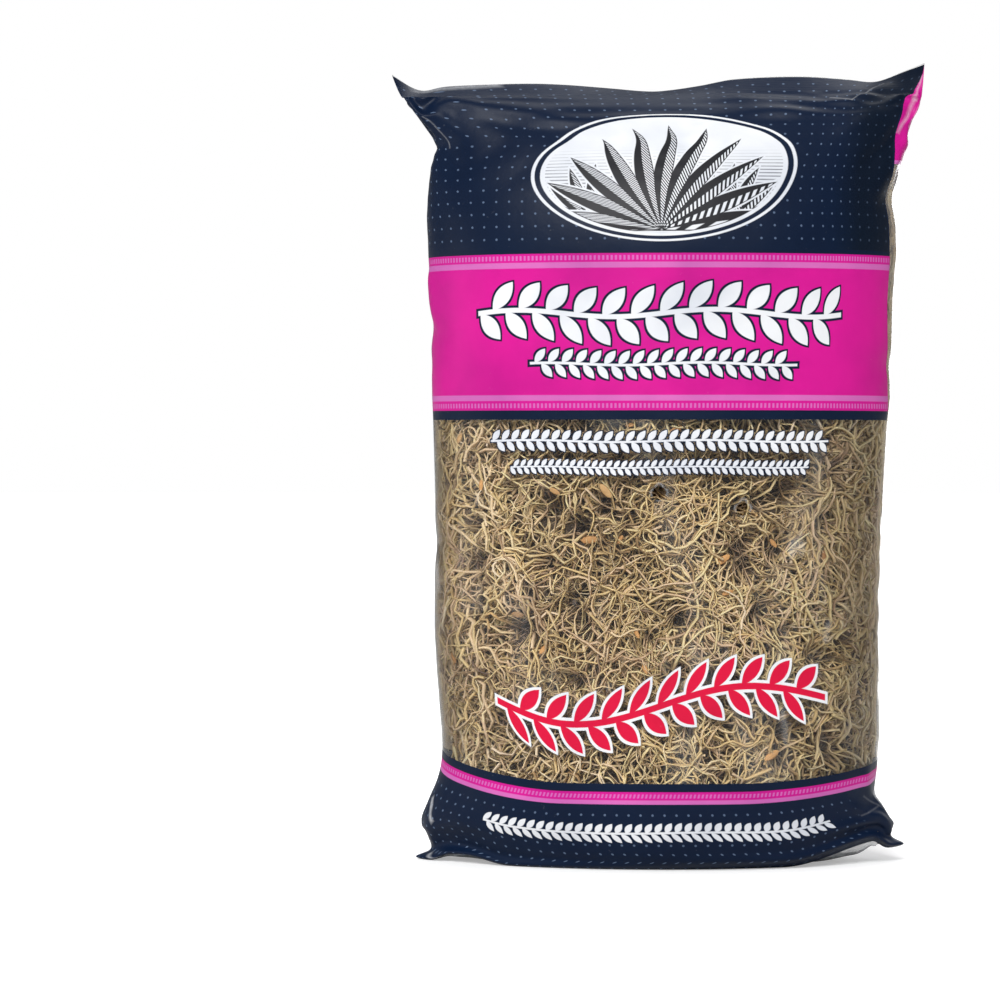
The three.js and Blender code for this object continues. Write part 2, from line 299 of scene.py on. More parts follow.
def film_rows():
    """Film points in rows from the seam under the bag up to the fin's edge, with u and v."""
    u = -HALF_GIRTH + COLUMN_STEP * np.arange(COLUMNS)
    rows, v_rows = [], []
    foot = under_film(u, V_FLOOR + 0 * u, 0)
    out = np.abs(foot[:, 0])
    settles = 1 - 0.35 * smooth(out, 60, 80) - 0.65 * smooth(out, 80, 92)
    for k in range(UNDER_ROWS, 0, -1):
        share = k / UNDER_ROWS
        ring = foot.copy()
        ring[:, 0] *= 1 - UNDER_TAPER * share
        ring[:, 1] = BACKWARD_SHIFT + (foot[:, 1] - BACKWARD_SHIFT) * (1 - share)
        ring[:, 2] = UNDER_RISE * share + foot[:, 2] * (1 - settles * smooth(share, 0.2, 0.65))
        rows.append(ring)
        v_rows.append(V_FLOOR - FOOT_HALF_DEPTH * share)
    low = np.arange(V_FLOOR, FOOT_ROWS_END, FOOT_ROW_STEP)
    high = np.linspace(FOOT_ROWS_END, V_SEAL - 0.4, round((V_SEAL - FOOT_ROWS_END) / ROW_STEP))
    for v in np.r_[low, high]:
        rows.append(under_film(u, v + 0 * u, 0))
        v_rows.append(v)
    for distance in np.linspace(0.6, FIN_WIDTH, FIN_ROWS):
        rows.append(fin_point(u, distance + 0 * u))
        v_rows.append(V_SEAL + distance)
    return u, np.array(v_rows), np.array(rows)


def normals_of(rows):
    along = np.gradient(rows, axis=0)
    around = np.roll(rows, -1, axis=1) - np.roll(rows, 1, axis=1)
    return unit(np.cross(around, along))


def fold(u, v, start, end, height, width, sharp=False):
    """A soft fold, or a sharp crease, along a line on the film, which fades at its ends."""
    start, end = np.array(start), np.array(end)
    run = end - start
    share = ((u - start[0]) * run[0] + (v - start[1]) * run[1]) / (run @ run)
    away = ((u - start[0]) * run[1] - (v - start[1]) * run[0]) / np.linalg.norm(run) / width
    if sharp:
        return height * np.exp(-np.abs(away)) * hump(share, -0.1, 0.2, 0.8, 1.1)
    return height * np.exp(-away ** 2) * hump(share, -0.15, 0.3, 0.7, 1.15)


def side_puckers(u, v):
    """Short dents that run in from the two side edges, where the film has to give."""
    random = np.random.default_rng(7)
    dents = 0 * u
    for _ in range(SIDE_PUCKERS):
        side = random.choice((-1, 1))
        middle, tilt = random.uniform(45, 285), random.uniform(-9, 9)
        reach, height = random.uniform(12, 34), random.uniform(-1.3, 0.7)
        inner = (side * (HALF_WIDTH - reach), middle + tilt)
        outer = (side * (HALF_WIDTH + 0.6 * reach), middle - tilt)
        dents = dents + fold(u, v, outer, inner, height, random.uniform(3.2, 6))
    return dents


def wrinkles(u, v):
    """Shallow wrinkles in patches."""
    wave = np.abs(np.sin(v / 6.2 + 1.9 * np.sin(u / 16 + 0.7) + 0.8 * np.sin(v / 12 + u / 27)))
    patch = smooth(np.sin(u / 26 + 1.1) * np.sin(v / 34 + 2.2), -0.2, 0.8)
    return 0.45 * (wave - 0.6) * patch * hump(v, 6, 30, 296, V_SEAL - 3)


def all_folds(u, v):
    """How far the puckers, wrinkles and folds stand out together."""
    folds = side_puckers(u, v) + wrinkles(u, v)
    for lines, sharp in ((BROAD_FOLDS, False), (SHARP_FOLDS, True)):
        for line in lines:
            folds = folds + fold(u, v, *line, sharp)
    return folds


def film_dents(u, v):
    """How far the film stands out of its plump form before it is let go."""
    dents = np.sin(u / 19 + 1.7 * np.sin(v / 37)) * np.sin(v / 31 + 1.3 * np.sin(u / 41))
    pleats = np.sin(u / 9.3 + 2.2 * np.sin(u / 23) + 0.6)
    top = hump(v, 240, V_SEAL - 30, V_SEAL - 26, V_SEAL - 4)
    return 0.9 * dents * hump(v, V_FLOOR, 40, 280, V_SEAL) + pleats * top


def mirror(column):
    """The column at the same place on the other side of the bag."""
    return (3 * COLUMNS // 2 - column) % COLUMNS


def film_faces(v):
    """Quads between the rows, with each corner's row, and its column before wrapping."""
    rows, columns = quad_corners(len(v) - 1, COLUMNS)
    middle_u = -HALF_GIRTH + COLUMN_STEP * (columns[:, 0] + 0.5)
    middle_v = (v[rows[:, 0]] + v[rows[:, 2]]) / 2
    keep = np.ones(len(rows), dtype=bool)
    for vent_u, vent_v in VENTS:
        row_v = v[np.argmin(np.abs(v - vent_v))]
        keep &= (np.abs(middle_u - vent_u) > COLUMN_STEP) | (np.abs(middle_v - row_v) > ROW_STEP)
    rows, columns = rows[keep], columns[keep]
    wrapped = columns % COLUMNS
    sealed = (rows == 0) | (rows == len(v) - 1)
    wrapped = np.where(sealed, np.minimum(wrapped, mirror(wrapped)), wrapped)
    return rows * COLUMNS + wrapped, rows, columns


RIGHT_TURN = np.array([  # [v, how far the print has slipped to the left at the right side]
    [110, 0], [160, 1.5], [185, 4.5], [215, 8], [262, 8.5], [284, 11], [302, 15], [313, 14],
    [V_SEAL, 8], [V_TOP, -5],
])
LEFT_TURN = np.array([[250, 0], [280, 9], [300, 16], [V_SEAL, 24], [V_TOP, 24]])
LEFT_CLIMB, RIGHT_CLIMB = 11.0, 7.5  # how far the print climbs at the lower corners


def print_place(u, v):
    """Where the print lies: it climbs at the lower corners, and the top is twisted a little,
    so that clear film and the back's print show at the upper right."""
    out = np.abs(u) / HALF_WIDTH
    out = np.where(out > 1, 2 - out, out)
    climb = np.where(u < 0, LEFT_CLIMB, RIGHT_CLIMB) * np.clip((out - 0.35) / 0.65, 0, 1) ** 1.6
    right = hump(u, 50, 88, 116, 170) * through(RIGHT_TURN, v)
    left = hump(-u, 60, 104, 130, 190) * through(LEFT_TURN, v)
    return u + right + left, v - climb * (1 - smooth(v, 30, 150))


def round_vents(rows, v):
    """Puts the eight points round each vent onto its circle."""
    for vent_u, vent_v in VENTS:
        row = np.argmin(np.abs(v - vent_v))
        column = round((vent_u + HALF_GIRTH) / COLUMN_STEP)
        for r, c in ((-1, -1), (-1, 0), (-1, 1), (0, -1), (0, 1), (1, -1), (1, 0), (1, 1)):
            out = rows[row + r, column + c] - rows[row, column]
            rows[row + r, column + c] -= out * (1 - VENT_RADIUS / np.linalg.norm(out))
    return rows


def stuffing(u, v):
    """The body that the film closes on in the simulation."""
    v = v[(v > V_FLOOR) & (v < V_SEAL - 6)]
    grid_u, grid_v = np.meshgrid(u, v)
    points = under_film(grid_u, grid_v, STUFFING_INSET).reshape(-1, 3)
    body = mesh_object("stuffing", points, ring_quads(len(v), COLUMNS))
    body.modifiers.new("solid", "COLLISION")
    body.collision.thickness_outer = 0.0006
    body.collision.cloth_friction = 3
    return body


def flat_film(u, v):
    """The film's points as it was cut: a flat tube, pressed together."""
    across = np.where(np.abs(u) > HALF_WIDTH, np.sign(u) * HALF_GIRTH - u, u)
    return np.stack([across * SLACK[0], 0 * across, v * SLACK[1]], axis=-1)


def held_share(u, v):
    """1 where the seal, the floor and the corners hold the film, and 0 where it is free."""
    by_side = 1 - smooth(np.abs(np.abs(u) - HALF_WIDTH), 6, 16)
    held = np.maximum(smooth(v, V_SEAL - 3, V_SEAL + 1), 1 - smooth(v, 1, 7))
    held = np.maximum(held, by_side * smooth(v, 276, 292))
    return np.maximum(held, by_side * (1 - smooth(v, 12, 26)))


def let_go(u, v, rows, faces):
    """The cloth simulation: stuffed film settles into the size that it was cut to."""
    grid_u, grid_v = np.meshgrid(u, v)
    film = mesh_object("loose_film", rows.reshape(-1, 3), faces)
    film.shape_key_add(name="stuffed")
    cut = film.shape_key_add(name="cut")
    cut.data.foreach_set("co", (flat_film(grid_u, grid_v) * MM).astype(np.float32).ravel())
    cut.value = 0
    group = film.vertex_groups.new(name="held")
    for point, weight in enumerate(held_share(grid_u, grid_v).ravel()):
        if weight > 0:
            group.add([point], float(weight), "REPLACE")

    body = stuffing(u, v)
    cloth = film.modifiers.new("cloth", "CLOTH")
    for name, value in CLOTH.items():
        setattr(cloth.settings, name, value)
    cloth.settings.rest_shape_key = cut
    cloth.settings.effector_weights.gravity = 0
    cloth.collision_settings.distance_min = 0.0006
    cloth.collision_settings.collision_quality = 2
    cloth.point_cache.frame_end = SETTLE_FRAMES
    for step in range(1, SETTLE_FRAMES + 1):
        bpy.context.scene.frame_set(step)
    settled = film.evaluated_get(bpy.context.evaluated_depsgraph_get()).data
    points = np.empty(rows.size, dtype=np.float32)
    settled.vertices.foreach_get("co", points)
    bpy.context.scene.frame_set(1)
    bpy.data.objects.remove(film)
    bpy.data.objects.remove(body)
    moved = points.reshape(rows.shape) / MM - rows
    moved = moved * smooth(grid_v, V_FLOOR, FOOT_GIVES)[..., None]
    far = np.linalg.norm(moved, axis=-1, keepdims=True)
    return rows + moved * FREE_PLAY * np.tanh(far / FREE_PLAY) / (far + 1e-9)


def make_film():
    """The printed film, its rows' v and points, and how far each is out of the plump form."""
    u, v, plump = film_rows()
    grid_u, grid_v = np.meshgrid(u, v)
    normal = normals_of(plump)
    rows = plump + normal * film_dents(grid_u, grid_v)[..., None]
    faces, face_rows, face_columns = film_faces(v)
    rows = let_go(u, v, rows, faces)
    rows = rows + normal * all_folds(grid_u, grid_v)[..., None]
    inward = -np.sum((rows - plump) * normal, axis=-1)
    most = INWARD_SHARE * half_depth(np.interp(grid_v, HEIGHT_V, HEIGHTS))
    rows = rows + normal * np.maximum(inward - most, 0)[..., None]
    rows = round_vents(rows, v)
    rows[..., 2] = np.maximum(rows[..., 2], 0)
    used, corners = np.unique(faces, return_inverse=True)
    points = rows.reshape(-1, 3)[used]
    film = mesh_object("bag_film_printed", points, corners.reshape(faces.shape))
    print_u, print_v = print_place(-HALF_GIRTH + COLUMN_STEP * face_columns, v[face_rows])
    set_film_uv(film, print_u, print_v)
    region = np.digitize(print_v.mean(axis=1), [low for low, _ in REGIONS[1:]])
    film.data.polygons.foreach_set("material_index", region.astype(np.int32))
    return film, v, rows, np.sum((rows - plump) * normal, axis=-1)


SEAM_COLUMNS = (-2, -1, 0, 1, 2)
SEAM_PROUD = (0.15, 0.5, 0.55, 0.55, 0.8)  # one edge is sealed down, the other is free


def make_seam(v, rows):
    """The lap seam up the middle of the back."""
    mine = (v > V_FLOOR - 8) & (v < V_SEAL)
    normal = normals_of(rows)
    columns = np.array(SEAM_COLUMNS) % COLUMNS
    points = rows[mine][:, columns] + normal[mine][:, columns] * np.array(SEAM_PROUD)[:, None]
    points[..., 2] = np.maximum(points[..., 2], 0)
    count, across = points.shape[:2]
    face_rows, face_columns = quad_corners(count - 1, across - 1)
    seam = mesh_object("back_seam", points.reshape(-1, 3), face_rows * across + face_columns)
    set_film_uv(seam, HALF_GIRTH + COLUMN_STEP * (face_columns - across // 2), v[mine][face_rows])
    return seam


# ---- Shader maths ----


def feed(socket, value):
    """Gives an input a number, a colour, or what a Field or a node's first output carries."""
    if isinstance(value, Field):
        value = value.socket
    elif isinstance(value, bpy.types.Node):
        value = value.outputs[0]
    if isinstance(value, bpy.types.NodeSocket):
        socket.id_data.links.new(value, socket)
    elif socket.type == "RGBA":
        socket.default_value = (*value, 1)
    else:
        socket.default_value = value


def add_node(tree, kind, *values, **named):
    """A node, its inputs fed in order or by name, where a _ stands for a space."""
    node = tree.nodes.new("ShaderNode" + kind)
    for slot, value in enumerate(values):
        feed(node.inputs[slot], value)
    for name, value in named.items():
        feed(node.inputs[name.replace("_", " ")], value)
    return node


class Field:
    """A number or colour at each point of a surface: the end of a chain of nodes."""

    def __init__(self, socket):
        self.socket, self.tree = socket, socket.id_data

    def math(self, operation, *others, clamp=False):
        node = add_node(self.tree, "Math")
        node.operation, node.use_clamp = operation, clamp
        for slot, value in enumerate((self, *others)):
            feed(node.inputs[slot], value)
        return Field(node.outputs[0])

    __add__ = partialmethod(math, "ADD")
    __sub__ = partialmethod(math, "SUBTRACT")
    __mul__ = partialmethod(math, "MULTIPLY")
    over = partialmethod(math, "DIVIDE")
    size = partialmethod(math, "ABSOLUTE")
    least = partialmethod(math, "MINIMUM")
    most = partialmethod(math, "MAXIMUM")

    def away_from(self, value):
        """The value less the number."""
        return self.math("MULTIPLY_ADD", -1, value)

    def above(self, start, gain):
        """0 up to start, and rising by gain from there, up to 1."""
        return (self - start).math("MULTIPLY", gain, clamp=True)

    def inside(self, soft=0.25):
        """1 where the number is above 0, with a soft edge that many millimetres wide."""
        return self.math("MULTIPLY_ADD", 1 / soft, 0.5, clamp=True)


def between(field, low, high):
    """Above 0 between low and high."""
    return (field - (low + high) / 2).size().away_from((high - low) / 2)


def ripple(field, length):
    """A sine wave of that length."""
    return (field * (math.tau / length)).math("SINE")


def in_cell(field, pitch):
    """Where a point is in its cell of that length, from -0.5 to 0.5."""
    return (field.over(pitch) + 0.5).math("FRACT") - 0.5


def radius_of(x, y):
    return (x * x + y * y).math("SQRT")


def dots(u, v, pitch, radius):
    """Above 0 in round dots on a grid. pitch is (across, up)."""
    x, y = (in_cell(field, step) * step for field, step in zip((u, v), pitch))
    return radius_of(x, y).away_from(radius)


LEAF_LEAN = (0.62, 0.78)  # sine and cosine of how a garland's leaves lean along its stem
LEAF_PITCH = 0.8  # in leaf lengths
LEAF_HEIGHT = 0.42  # the middle of a leaf above the stem, in leaf lengths
FAR_BELOW = 50


def garland(u, v, middle, half_span, leaf, swing, stem):
    """Above 0 in a wavy stem with leaves above and below it by turns."""
    length, width = leaf
    pitch = LEAF_PITCH * length
    x = u - middle[0]
    y = v - middle[1] - ripple(x, swing[0]) * swing[1]
    side = y.math("SIGN")
    slot = x + side * (pitch / 4)
    centre = (slot.over(pitch).math("FLOOR") + 0.5) * pitch
    cell, up = slot - centre, y.size() - LEAF_HEIGHT * length
    along = cell * LEAF_LEAN[0] + up * LEAF_LEAN[1]
    across = cell * LEAF_LEAN[1] - up * LEAF_LEAN[0]
    blade = (along * along) * (-width / 2 / (length / 2) ** 2) + width / 2 - across.size()
    whole = (centre - side * (pitch / 4)).size().math("LESS_THAN", half_span - pitch / 2)
    stalk = y.size().away_from(stem).least(x.size().away_from(half_span - pitch / 4))
    return (blade + (whole - 1) * FAR_BELOW).most(stalk)


def fan(u, v, foot, reach, leaves, width):
    """Above 0 in narrow leaves that spread upwards out of a foot; and the way across each."""
    x, y = u - foot[0], v - foot[1]
    radius = radius_of(x, y)
    share = radius.over(reach)
    across = in_cell(x.math("ARCTAN2", y), math.pi / leaves) * (math.pi / leaves) * radius
    blade = share * share.away_from(1) * (2 * width) - across.size()
    return blade.least(y + 0.5), across


def near_line(u, v, start, end):
    """0 on a straight line from start to end, and the less the further from it."""
    run = (end[0] - start[0], end[1] - start[1])
    length = math.hypot(*run)
    x, y = u - start[0], v - start[1]
    beyond = between(x * (run[0] / length) + y * (run[1] / length), 0, length)
    return (x * (run[1] / length) - y * (run[0] / length)).size().away_from(0).least(beyond)


def multiplied(tree, first, second):
    node = add_node(tree, "VectorMath", first, second)
    node.operation = "MULTIPLY"
    return node


def object_place(tree):
    return add_node(tree, "TexCoord").outputs["Object"]


def x_and_y(place):
    split = add_node(place.id_data, "SeparateXYZ", place)
    return Field(split.outputs["X"]), Field(split.outputs["Y"])


def noise(tree, scale, detail=3, roughness=0.5, stretch=(1, 1, 1)):
    """Noise in the object's own metres, stretched along its axes."""
    place = multiplied(tree, object_place(tree), stretch)
    made = add_node(tree, "TexNoise", place, Scale=scale, Detail=detail, Roughness=roughness)
    return Field(made.outputs["Fac"])


def paint(under, mask, colour, how="MIX"):
    """Colour laid over what is under it, where the mask is 1."""
    mix = add_node(mask.tree, "Mix")
    mix.data_type, mix.blend_type = "RGBA", how
    for name, value in (("Factor", mask), ("A", under), ("B", colour)):
        feed(mix.inputs[name], value)
    return Field(mix.outputs["Result"])


def colour_ramp(field, stops):
    ramp = add_node(field.tree, "ValToRGB", field)
    made = ramp.color_ramp.elements
    while len(made) < len(stops):
        made.new(1)
    for stop, (position, colour) in zip(made, stops):
        stop.position, stop.color = position, (*colour, 1)
    return Field(ramp.outputs["Color"])


def new_material(name, surface, *details):
    """A material that shows the shader which surface builds."""
    material = bpy.data.materials.new(name)
    material.use_nodes = True
    tree = material.node_tree
    tree.nodes.clear()
    add_node(tree, "OutputMaterial", surface(tree, *details))
    return material


# ---- The film's material ----

NAVY = (0.0018, 0.0085, 0.0285)
MAGENTA = (0.58, 0.007, 0.245)
PALE_PINK = (0.58, 0.13, 0.42)
DOT_GREY = (0.09, 0.13, 0.205)
WHITE_INK = (0.72, 0.73, 0.75)
CHARCOAL = (0.015, 0.015, 0.018)
ENGRAVED_GREY = (0.17, 0.175, 0.19)
RED_INK = (0.6, 0.006, 0.042)
DEEPER_INK = (0.8, 0.82, 0.86)  # in patches all over the print
PAINTED_SHADE_INK = (0.85, 0.72, 0.58)  # painted shade towards the header's right end, where the dots are dimmed too

# The lowest v of each printed band, from the middle of the underside up. None is clear film.
FOOTER_BANDS = [
    (-90, None), (V_FLOOR - 12, NAVY), (26.3, PALE_PINK), (27.9, MAGENTA), (31.1, NAVY),
    (34.3, None),
]
FRONT_BANDS = FOOTER_BANDS + [
    (174.7, NAVY), (178.3, MAGENTA), (182.0, PALE_PINK), (184.2, MAGENTA), (233.4, PALE_PINK),
    (235.6, MAGENTA), (239.0, NAVY), (V_TOP - 1.2, None),
]
BACK_BANDS = FOOTER_BANDS + [(277.5, PALE_PINK), (279.3, MAGENTA), (V_TOP - 1.2, None)]
REGIONS = [(-60, 36), (36, 170), (170, 242), (242, 400)]  # footer, window, band and header
REGION_OVERLAP = 6
PRINT_EDGES = (-105.5, 104)  # the front's print stops short of the side edges
DOTTED = (-103.5, 103)  # and its dots and beads a little before that

FILM_HAZE = 0.012  # how milky the clear film is everywhere
SEAM_HAZE = 0.13  # and where it is sealed to itself up the back
RIB_PITCH = 1.25  # of the crimped seal


def printed_bands(v, bands, region):
    """The colour of the bands that reach into a region, and 1 where there is ink."""
    low, high = region[0] - REGION_OVERLAP, region[1] + REGION_OVERLAP
    was = [ink for start, ink in bands if start <= low][-1]
    colour, ink = was or NAVY, v * 0 + (1 if was else 0)
    for start, now in [band for band in bands if low < band[0] < high]:
        step = (v - start).inside(0.2)
        ink = ink + step * ((1 if now else 0) - (1 if was else 0))
        if now:
            colour = paint(colour, step, now)
        was = now
    return colour, ink


def printed_film(u, v, region, decorate):
    """The worn print's colour with painted highlights along folds and edges, and 1 where there is
    ink.
    """
    front, front_ink = printed_bands(v, FRONT_BANDS, region)
    back, back_ink = printed_bands(v, BACK_BANDS, region)
    is_front = between(u, *PRINT_EDGES).inside()
    colour = paint(back, is_front, front)
    ink = back_ink + is_front * (front_ink - back_ink)
    if decorate:
        colour, ink = decorate(u, v, colour, ink)
    colour = paint(colour, noise(u.tree, 22, 3, 0.6).above(0.42, 4), DEEPER_INK, "MULTIPLY")
    worn = noise(u.tree, 420, 5, 0.7)
    colour = paint(colour, worn.above(0.66, 0.5), WHITE_INK)
    # painted highlights, partly ink worn by folding, along the folds and edges
    for start, end, share, wide in WORN_AND_LIT_LINES:
        if decorate and region[0] < start[1] < region[1]:
            line = near_line(u, v, print_place(*start), print_place(*end)).inside(wide)
            colour = paint(colour, line * worn * (2 * share), WHITE_INK)
    return colour, ink


def milkiness(u, v, haziness):
    """How milky the clear film is, from 0 to 1, with painted glints in it."""
    streaks = noise(u.tree, 30, 5, 0.65, (1, 1, 0.35))
    # painted highlights: small white glints laid into the milky haze
    painted_glints = noise(u.tree, 75, 2, 0.5, (1, 1, 0.6)).above(0.68, 5)
    cloud = streaks.above(0.54, 0.45) + painted_glints * 0.35 + haziness
    by_side = (u.size() - HALF_WIDTH).size().away_from(4).inside(8)
    cloud = cloud + by_side * streaks * 0.2
    crushed = v.away_from(V_FLOOR - 9).inside(8) * (streaks * 1.4 - 0.15)
    for vent_u, vent_v in VENTS:
        rim = radius_of(u - vent_u, v - vent_v) - (VENT_RADIUS + 0.6)
        crushed = crushed.most(rim.size().away_from(0.3).inside(0.8) * 0.22)
    return cloud.most(crushed).least(0.9)


def film_surface(tree, region, decorate=None, haziness=FILM_HAZE):
    """Glossy clear film with its bands of ink. decorate adds the print of one region."""
    place = add_node(tree, "UVMap")
    place.uv_map = "film"
    u, v = x_and_y(place.outputs["UV"])
    colour, ink = printed_film(u, v, region, decorate)
    ribs = ripple(v, RIB_PITCH) * (v - (V_SEAL + 0.5)).inside(1)
    relief = noise(tree, 60, 4, 0.6) + ribs * 0.02
    bump = add_node(tree, "Bump", Height=relief, Strength=0.3, Distance=0.001)
    inked = add_node(tree, "BsdfPrincipled", colour, Normal=bump, Roughness=0.42, IOR=1.45,
                     Specular_IOR_Level=0.16)
    clear = add_node(tree, "BsdfTransparent", (0.985, 0.985, 0.98))
    gloss = add_node(tree, "BsdfGlossy", (1, 1, 1), Roughness=0.16, Normal=bump)
    haze = add_node(tree, "BsdfDiffuse", (0.80, 0.82, 0.84))
    fresnel = add_node(tree, "Fresnel", IOR=1.24, Normal=bump)
    milky = add_node(tree, "MixShader", milkiness(u, v, haziness), clear, haze)
    bare = add_node(tree, "MixShader", fresnel, milky, gloss)
    return add_node(tree, "MixShader", ink, bare, inked)


# ---- The print of each region ----

GRID_PITCH = (5.33, 5.1)
FOOTER_GRID_PITCH = (4.6, 4.05)
FOOTER_GRID_START = 1.85
DOT_RADIUS = 0.45
BEAD_PITCH = 1.6
BAND_BEADS = [(179.2, 181.0), (236.4, 238.2)]  # the v between which each row of beads lies
FOOTER_BEADS = (28.7, 30.2)
OVAL_HEIGHT = 273
OVAL_HALF = (50.5, 29.5)
OVAL_STEPS = 36  # from the oval's middle to its edge, about as many millimetres
OVAL_LINE = (1.0, 2.6)  # the navy line inside its edge
OVAL_RIM = 4  # how far in the engraving starts
# Each fan of leaves: its foot, how far it reaches, how many leaves, and how wide they are.
FANS = [((-26, 251), 25, 8, 4.4), ((26, 251), 25, 8, 4.4), ((0, 248), 48, 11, 7.0)]
# Garlands: middle, half length, leaf (length, width), swing (length, height) and half the stem.
LARGE_GARLAND = ((1, 215.8), 76, (13.6, 6.2), (76, 1.4), 0.95)
SMALL_GARLAND = ((1, 196.2), 53, (6.8, 3.1), (60, 0.5), 0.5)
UPPER_ROW = ((0, 166.4), 69, (5.2, 2.5), (68, 0.4), 0.4)
LOWER_ROW = ((0, 156.3), 60, (3.6, 1.7), (60, 0.3), 0.3)
RED_SPRIG = ((1, 64.5), 70, (14, 5.0), (140, 7.5), 1.3)
FOOTER_ROW = ((1, 15.1), 69, (4.7, 2.4), (68, 0.3), 0.42)


def bead_row(u, v, low, high):
    """1 in the beads of a fine row between two heights."""
    beads = ripple(u, BEAD_PITCH).inside(1.4)
    return beads * between(v, low, high).inside(0.1) * between(u, *DOTTED).inside(0.2)


def outlined(colour, ink, shape, width, line, fill):
    """The print with a filled shape added, and an outline of that width round it."""
    whole = (shape + width).inside()
    return paint(paint(colour, whole, line), shape.inside(), fill), ink.most(whole)


def header_print(u, v, colour, ink):
    """Small dots all over, with painted shade at the right end, and a white oval with fans of
    leaves in an engraved manner.
    """
    front = between(u, *DOTTED).inside(0.2)
    # painted shade: the ink and the dots darker towards the header's right end
    shaded_right = u.above(69, 1 / 16) * front
    spots = dots(u, v, GRID_PITCH, DOT_RADIUS).inside() * front * (shaded_right * -0.65 + 1)
    colour = paint(colour, shaded_right, PAINTED_SHADE_INK, "MULTIPLY")
    colour = paint(colour, spots, DOT_GREY)
    x, y = u * (1 / OVAL_HALF[0]), (v - OVAL_HEIGHT) * (1 / OVAL_HALF[1])
    oval = radius_of(x, y).away_from(1) * OVAL_STEPS
    colour = paint(colour, oval.inside(), WHITE_INK)
    colour = paint(colour, between(oval, *OVAL_LINE).inside(), NAVY)
    ground = (oval - OVAL_RIM).inside()
    lines = ripple(v, 1.5) + (v - 264) * -0.06
    hatch = lines.inside(0.5) * ground * (noise(u.tree, 90, 3) * 1.3)
    colour = paint(colour, hatch, ENGRAVED_GREY)
    for figure in FANS:
        blade, across = fan(u, v, *figure)
        blade = blade.least(oval - OVAL_RIM)
        colour = paint(colour, (blade + 0.7).inside() * ground, WHITE_INK)
        colour = paint(colour, blade.inside(), CHARCOAL)
        veins = ripple(v + across * 1.3, 1.3).inside(0.6)
        lit = veins * (across + 0.15).inside() * (blade - 0.35).inside()
        colour = paint(colour, lit, WHITE_INK)
    return colour, ink


def band_print(u, v, colour, ink):
    """Two garlands of white leaves with a navy outline, between two rows of beads."""
    for low, high in BAND_BEADS:
        colour = paint(colour, bead_row(u, v, low, high), PALE_PINK)
    leaves = garland(u, v, *LARGE_GARLAND).most(garland(u, v, *SMALL_GARLAND))
    return outlined(colour, ink, leaves, 1.0, NAVY, WHITE_INK)


def window_print(u, v, colour, ink):
    """Two fine rows of white leaves at the top, and a red sprig with a white outline below."""
    rows = garland(u, v, *UPPER_ROW).most(garland(u, v, *LOWER_ROW))
    colour, ink = outlined(colour, ink, rows, 0.5, NAVY, WHITE_INK)
    return outlined(colour, ink, garland(u, v, *RED_SPRIG), 1.2, WHITE_INK, RED_INK)


def footer_print(u, v, colour, ink):
    """A row of white leaves over small dots, and beads in the magenta line."""
    spots = dots(u, v - FOOTER_GRID_START, FOOTER_GRID_PITCH, DOT_RADIUS).inside()
    spots = spots * v.away_from(25.4).inside() * between(u, 80, 107).inside(10).away_from(1)
    row = between(v, 11.6, 20).least(between(u, -72, 74)).inside()
    colour = paint(colour, spots * row.away_from(1), DOT_GREY)
    colour = paint(colour, bead_row(u, v, *FOOTER_BEADS), PALE_PINK)
    return outlined(colour, ink, garland(u, v, *FOOTER_ROW), 0.8, NAVY, WHITE_INK)


# ---- The moss's materials ----

MOSS_TONES = [
    (0.0, (0.13, 0.088, 0.062)), (0.25, (0.35, 0.242, 0.145)), (0.5, (0.63, 0.478, 0.285)),
    (0.75, (0.755, 0.61, 0.392)), (1.0, (0.8, 0.7, 0.505)),
]
MOSS_TINTS = [  # greyish violet, plain, olive, golden and, for bits of bark, orange
    (0.0, (0.94, 0.87, 0.9)), (0.25, (1.0, 0.97, 0.93)), (0.5, (0.98, 0.99, 0.82)),
    (0.8, (1.0, 0.91, 0.7)), (1.0, (1.0, 0.7, 0.42)),
]
# painted shade: the moss deep in the bunch is coloured dark
CORE_TONES = [
    (0.32, (0.02, 0.016, 0.016)), (0.5, (0.135, 0.095, 0.06)), (0.68, (0.29, 0.215, 0.135)),
]


def point_value(tree, name):
    node = add_node(tree, "Attribute")
    node.attribute_name = name
    return Field(node.outputs["Fac"])


def moss_surface(tree):
    """Dry fibre: each strand's own tone less its painted shade, and its tint, flecked along its
    length.
    """
    shade = point_value(tree, "tone") + (noise(tree, 260, 3, 0.6) - 0.5) * 0.5
    tint = point_value(tree, "tint") + (noise(tree, 45, 2) - 0.5) * 0.5
    colour = multiplied(tree, colour_ramp(shade, MOSS_TONES), colour_ramp(tint, MOSS_TINTS))
    bump = add_node(tree, "Bump", Height=noise(tree, 1400, 2), Strength=0.5, Distance=0.0003)
    return add_node(tree, "BsdfPrincipled", colour, Normal=bump, Roughness=0.7,
                    Specular_IOR_Level=0.35)


def core_surface(tree):
    """The moss deep in the bunch, coloured dark as painted shade."""
    tangle = noise(tree, 420, 5, 0.65)
    bump = add_node(tree, "Bump", Height=tangle, Strength=0.9, Distance=0.0012)
    tone = colour_ramp(tangle, CORE_TONES)
    return add_node(tree, "BsdfPrincipled", tone, Normal=bump, Roughness=0.9)


# ---- The moss ----

